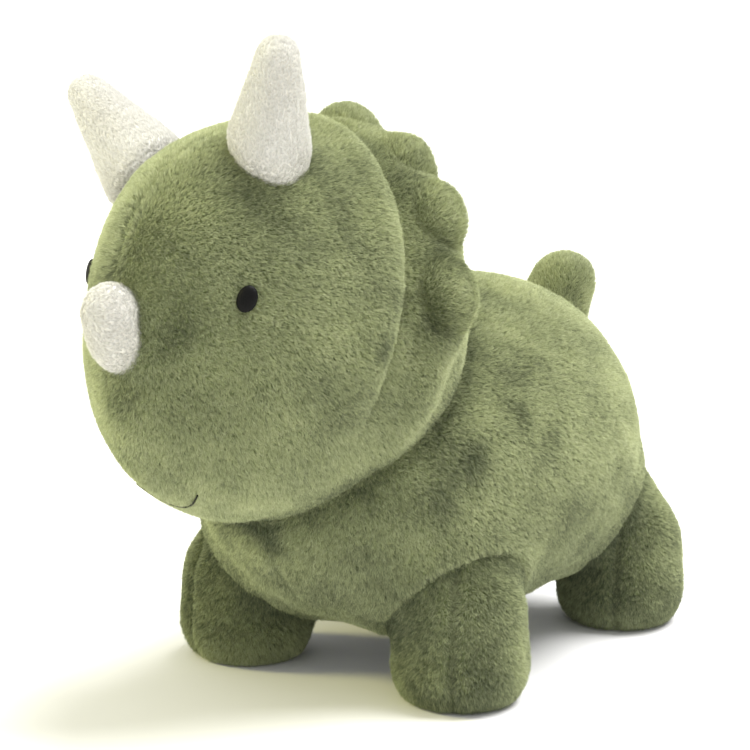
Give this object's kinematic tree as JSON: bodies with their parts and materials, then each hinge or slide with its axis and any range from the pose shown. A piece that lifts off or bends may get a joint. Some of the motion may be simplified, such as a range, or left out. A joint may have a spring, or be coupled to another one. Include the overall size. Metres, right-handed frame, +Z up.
{
  "type": "stuffed toy dinosaur",
  "caption": "Soft stuffed toy dinosaur standing on stubby legs, with a big round head, cream horns, a scalloped frill and a short upright tail.",
  "frame": {"origin": "on the floor, below the middle of the bounding box", "axes": "+Z up, the toy faces -Y, its own left side is +X"},
  "size_m": [0.1941, 0.3355, 0.2886],
  "materials": {
    "green_plush": "soft sage green plush pile",
    "cream_plush": "off-white short pile",
    "sole_plush": "sage green plush, pile pressed flat",
    "fibre_filling": "white polyester fibre filling",
    "black_thread": "black embroidery thread"
  },
  "bodies": {
    "torso": {"belly_panel": "green_plush", "body_panel_left": "green_plush", "body_panel_right": "green_plush", "body_stuffing": "fibre_filling"},
    "neck": {"neck_stuffing": "fibre_filling"},
    "head": {"head_face_panel_left": "green_plush", "head_face_panel_right": "green_plush", "head_back_panel_left": "green_plush", "head_back_panel_right": "green_plush", "head_stuffing": "fibre_filling", "frill_lobe_crown": "green_plush", "frill_stuffing_crown": "fibre_filling", "frill_lobe_left_upper": "green_plush", "frill_stuffing_left_upper": "fibre_filling", "frill_lobe_left_middle": "green_plush", "frill_stuffing_left_middle": "fibre_filling", "frill_lobe_left_lower": "green_plush", "frill_stuffing_left_lower": "fibre_filling", "frill_lobe_right_upper": "green_plush", "frill_stuffing_right_upper": "fibre_filling", "frill_lobe_right_middle": "green_plush", "frill_stuffing_right_middle": "fibre_filling", "frill_lobe_right_lower": "green_plush", "frill_stuffing_right_lower": "fibre_filling", "brow_horn_left": "cream_plush", "brow_horn_left_stuffing": "fibre_filling", "brow_horn_right": "cream_plush", "brow_horn_right_stuffing": "fibre_filling", "nose_horn": "cream_plush", "nose_horn_stuffing": "fibre_filling", "eye_left": "black_thread", "eye_right": "black_thread", "mouth": "black_thread"},
    "leg_front_left": {"leg_cover_front_left": "green_plush", "sole_pad_front_left": "sole_plush", "leg_stuffing_front_left": "fibre_filling"},
    "leg_front_right": {"leg_cover_front_right": "green_plush", "sole_pad_front_right": "sole_plush", "leg_stuffing_front_right": "fibre_filling"},
    "leg_rear_left": {"leg_cover_rear_left": "green_plush", "sole_pad_rear_left": "sole_plush", "leg_stuffing_rear_left": "fibre_filling"},
    "leg_rear_right": {"leg_cover_rear_right": "green_plush", "sole_pad_rear_right": "sole_plush", "leg_stuffing_rear_right": "fibre_filling"},
    "tail": {"tail_cover": "green_plush", "tail_stuffing": "fibre_filling"}
  },
  "joints": [
    {"name": "neck_turn", "type": "hinge", "parent": "torso", "child": "neck", "pos_m": [0.0029, -0.0358, 0.15], "axis": [0, 0, 1], "range_deg": [-10, 10], "stiffness_Nm_per_rad": 3},
    {"name": "neck_nod", "type": "hinge", "parent": "neck", "child": "head", "pos_m": [0.0029, -0.0358, 0.15], "axis": [1, 0, 0], "range_deg": [-7, 7], "stiffness_Nm_per_rad": 4},
    {"name": "leg_swing_front_left", "type": "hinge", "parent": "torso", "child": "leg_front_left", "pos_m": [0.0534, -0.0148, 0.052], "axis": [1, 0, 0], "range_deg": [-12, 12], "stiffness_Nm_per_rad": 2},
    {"name": "leg_swing_front_right", "type": "hinge", "parent": "torso", "child": "leg_front_right", "pos_m": [-0.0366, -0.0148, 0.052], "axis": [1, 0, 0], "range_deg": [-12, 12], "stiffness_Nm_per_rad": 2},
    {"name": "leg_swing_rear_left", "type": "hinge", "parent": "torso", "child": "leg_rear_left", "pos_m": [0.0534, 0.1132, 0.052], "axis": [1, 0, 0], "range_deg": [-12, 12], "stiffness_Nm_per_rad": 2},
    {"name": "leg_swing_rear_right", "type": "hinge", "parent": "torso", "child": "leg_rear_right", "pos_m": [-0.0366, 0.1132, 0.052], "axis": [1, 0, 0], "range_deg": [-12, 12], "stiffness_Nm_per_rad": 2},
    {"name": "tail_wag", "type": "hinge", "parent": "torso", "child": "tail", "pos_m": [0.0084, 0.1352, 0.118], "axis": [0, 1, 0], "range_deg": [-14, 14], "stiffness_Nm_per_rad": 0.2}
  ]
}
